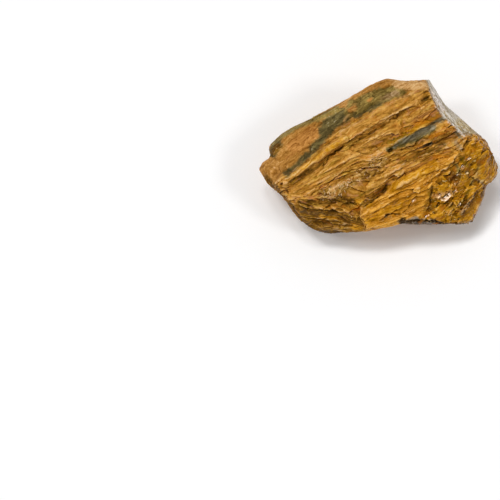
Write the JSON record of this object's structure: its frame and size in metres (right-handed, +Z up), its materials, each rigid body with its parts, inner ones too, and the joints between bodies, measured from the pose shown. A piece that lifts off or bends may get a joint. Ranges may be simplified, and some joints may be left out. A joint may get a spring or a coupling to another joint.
{
  "type": "rough fibrous gemstone",
  "caption": "Rough piece of nellite: golden-brown fibrous stone with splintery ridges, ledges and a hackly broken end, lying on its flat back.",
  "frame": {"origin": "on the resting surface, under the centre of the stone's box", "axes": "+X along the stone's length, +Z up out of the fibrous face, -Y the thin side"},
  "size_m": [0.0652, 0.041, 0.0251],
  "materials": {
    "nellite": "rough golden-brown fibrous stone, dull on weathered faces and glossy on fresh breaks"
  },
  "bodies": {
    "root": {"nellite_stone": "nellite"}
  },
  "joints": []
}
